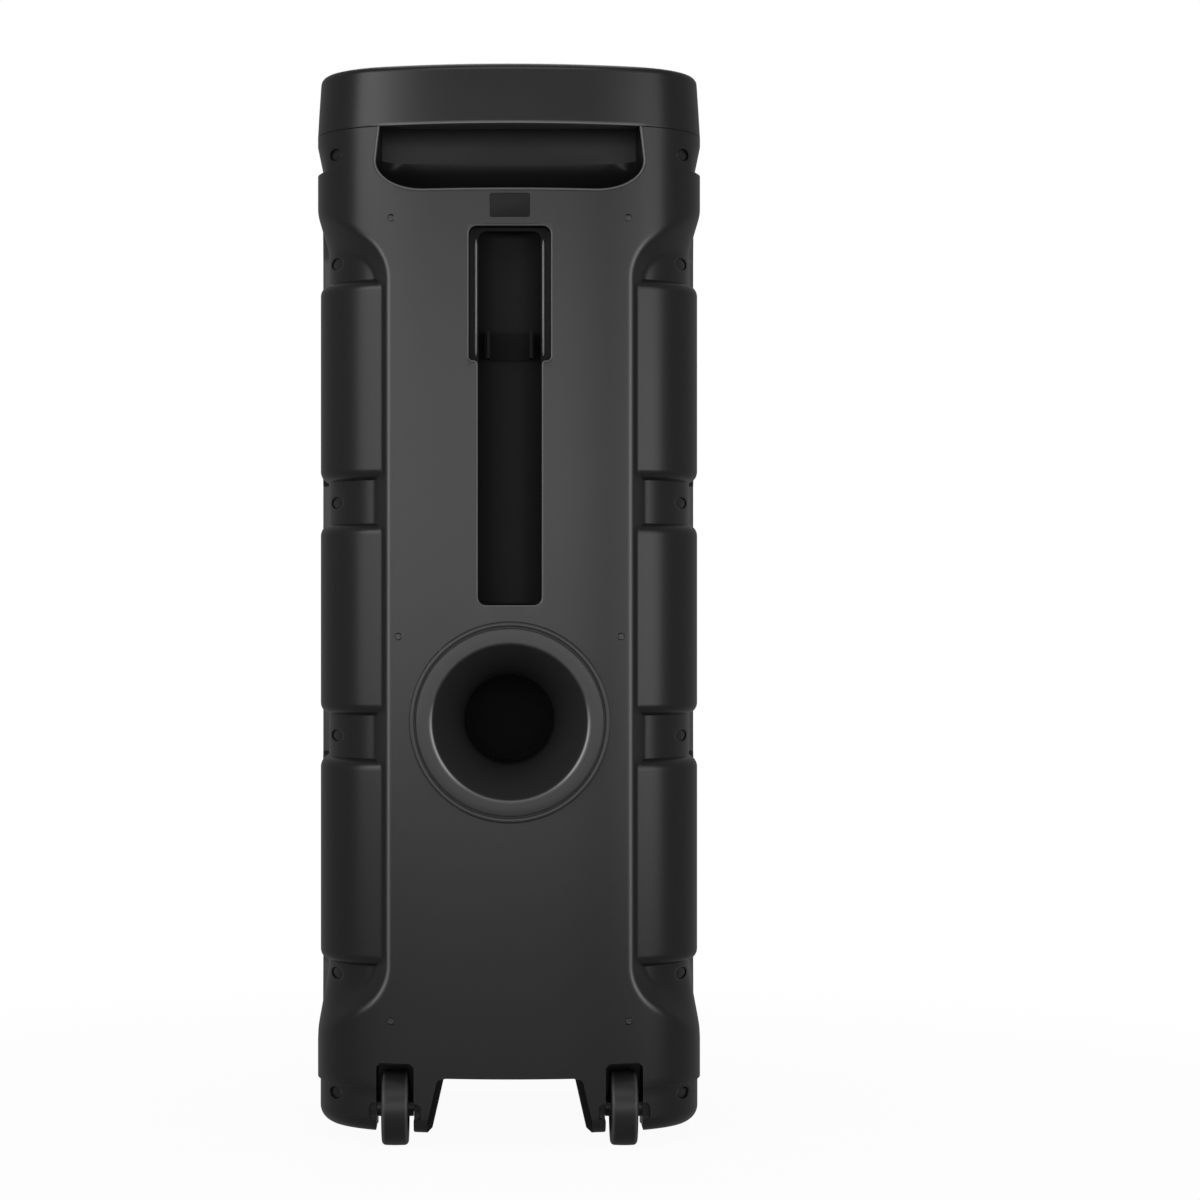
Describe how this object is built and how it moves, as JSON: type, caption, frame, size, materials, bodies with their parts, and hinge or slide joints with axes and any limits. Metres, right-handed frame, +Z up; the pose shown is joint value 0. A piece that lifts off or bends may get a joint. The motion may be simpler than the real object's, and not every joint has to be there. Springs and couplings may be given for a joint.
{
  "type": "party speaker",
  "caption": "Tall wheeled loudspeaker cabinet with a rear hand-hold, an empty microphone dock, a flared bass port, two woofers and a horn behind a steel grille.",
  "frame": {"origin": "middle of the footprint, on the floor", "axes": "+Z up; -Y towards the grille, +Y towards the bass port; +X to the left when looking at the back"},
  "size_m": [0.29, 0.3, 0.8],
  "materials": {
    "rear_plastic": "fine moulded texture",
    "front_plastic": "fine moulded texture",
    "cap_plastic": "fine moulded texture",
    "liner_plastic": "satin",
    "clip_plastic": "satin",
    "port_plastic": "satin",
    "frame_plastic": "semi gloss",
    "baffle_board": "black stained fibreboard",
    "grille_steel": "powder coat",
    "light_diffuser": "frosted",
    "circuit_board": "solder mask",
    "gasket_foam": "foam",
    "horn_plastic": "satin",
    "diaphragm_metal": "satin",
    "magnet_steel": "plain",
    "screw_steel": "zinc plated",
    "screw_black": "black oxide",
    "hub_plastic": "moulded",
    "tyre_rubber": "matt",
    "axle_steel": "ground",
    "foot_rubber": "matt",
    "tray_metal": "plain",
    "heatsink_metal": "extruded",
    "battery_wrap": "shrink wrap",
    "socket_plastic": "satin",
    "panel_plastic": "satin",
    "knob_plastic": "satin",
    "button_plastic": "satin",
    "display_glass": "smoked",
    "basket_metal": "black paint",
    "cone_paper": "coated paper",
    "coil_copper": "wound wire",
    "surround_rubber": "satin",
    "spider_cloth": "corrugated cloth"
  },
  "bodies": {
    "cabinet": {"rear_housing": "rear_plastic", "front_housing": "front_plastic", "top_cap": "cap_plastic", "handle_cup": "liner_plastic", "mic_dock": "liner_plastic", "mic_clip": "clip_plastic", "port_tube": "port_plastic", "port_ring": "port_plastic", "baffle": "baffle_board", "grille_frame": "frame_plastic", "front_grille": "grille_steel", "light_rings": "light_diffuser", "led_boards": "circuit_board", "woofer_low_frame": "basket_metal", "woofer_low_magnet": "magnet_steel", "woofer_low_surround": "surround_rubber", "woofer_low_spider": "spider_cloth", "woofer_top_frame": "basket_metal", "woofer_top_magnet": "magnet_steel", "woofer_top_surround": "surround_rubber", "woofer_top_spider": "spider_cloth", "driver_gaskets": "gasket_foam", "tweeter_horn": "horn_plastic", "tweeter_diaphragm": "diaphragm_metal", "tweeter_magnet": "magnet_steel", "driver_screws": "screw_steel", "baffle_screws": "screw_steel", "rear_screws": "screw_black", "side_screws": "screw_black", "wheel_axles": "axle_steel", "front_feet": "foot_rubber", "electronics_tray": "tray_metal", "amplifier_board": "circuit_board", "heatsink": "heatsink_metal", "power_board": "circuit_board", "battery_pack": "battery_wrap", "mains_inlet": "socket_plastic", "control_panel": "panel_plastic", "control_board": "circuit_board", "display_window": "display_glass", "input_sockets": "socket_plastic"},
    "wheel_left": {"wheel_left_hub": "hub_plastic", "wheel_left_tyre": "tyre_rubber"},
    "wheel_right": {"wheel_right_hub": "hub_plastic", "wheel_right_tyre": "tyre_rubber"},
    "low_cone": {"woofer_low_cone": "cone_paper", "woofer_low_coil": "coil_copper"},
    "top_cone": {"woofer_top_cone": "cone_paper", "woofer_top_coil": "coil_copper"},
    "volume_dial": {"volume_knob": "knob_plastic"},
    "echo_dial": {"echo_knob": "knob_plastic"},
    "mic_dial": {"mic_knob": "knob_plastic"},
    "power_key": {"button_power": "button_plastic"},
    "source_key": {"button_source": "button_plastic"},
    "light_key": {"button_light": "button_plastic"},
    "bass_key": {"button_bass": "button_plastic"},
    "play_key": {"button_play": "button_plastic"},
    "pair_key": {"button_pair": "button_plastic"}
  },
  "joints": [
    {"name": "wheel_left_spin", "type": "hinge", "parent": "cabinet", "child": "wheel_left", "pos_m": [-0.0847, 0.118, 0.028], "axis": [1, 0, 0], "continuous": true},
    {"name": "wheel_right_spin", "type": "hinge", "parent": "cabinet", "child": "wheel_right", "pos_m": [0.0847, 0.118, 0.028], "axis": [1, 0, 0], "continuous": true},
    {"name": "low_cone_travel", "type": "slide", "parent": "cabinet", "child": "low_cone", "axis": [0, 1, 0], "range_m": [-0.005, 0.005], "stiffness_N_per_m": 2000},
    {"name": "top_cone_travel", "type": "slide", "parent": "cabinet", "child": "top_cone", "axis": [0, 1, 0], "range_m": [-0.005, 0.005], "stiffness_N_per_m": 2000},
    {"name": "volume_turn", "type": "hinge", "parent": "cabinet", "child": "volume_dial", "pos_m": [0, -0.056, 0.79], "axis": [0, 0, 1], "continuous": true},
    {"name": "echo_turn", "type": "hinge", "parent": "cabinet", "child": "echo_dial", "pos_m": [-0.092, -0.1, 0.79], "axis": [0, 0, 1], "range_deg": [-150, 150]},
    {"name": "mic_turn", "type": "hinge", "parent": "cabinet", "child": "mic_dial", "pos_m": [-0.06, -0.1, 0.79], "axis": [0, 0, 1], "range_deg": [-150, 150]},
    {"name": "power_press", "type": "slide", "parent": "cabinet", "child": "power_key", "axis": [0, 0, -1], "range_m": [0, 0.0015], "stiffness_N_per_m": 300, "springref_m": -0.001},
    {"name": "source_press", "type": "slide", "parent": "cabinet", "child": "source_key", "axis": [0, 0, -1], "range_m": [0, 0.0015], "stiffness_N_per_m": 300, "springref_m": -0.001},
    {"name": "light_press", "type": "slide", "parent": "cabinet", "child": "light_key", "axis": [0, 0, -1], "range_m": [0, 0.0015], "stiffness_N_per_m": 300, "springref_m": -0.001},
    {"name": "bass_press", "type": "slide", "parent": "cabinet", "child": "bass_key", "axis": [0, 0, -1], "range_m": [0, 0.0015], "stiffness_N_per_m": 300, "springref_m": -0.001},
    {"name": "play_press", "type": "slide", "parent": "cabinet", "child": "play_key", "axis": [0, 0, -1], "range_m": [0, 0.0015], "stiffness_N_per_m": 300, "springref_m": -0.001},
    {"name": "pair_press", "type": "slide", "parent": "cabinet", "child": "pair_key", "axis": [0, 0, -1], "range_m": [0, 0.0015], "stiffness_N_per_m": 300, "springref_m": -0.001}
  ]
}
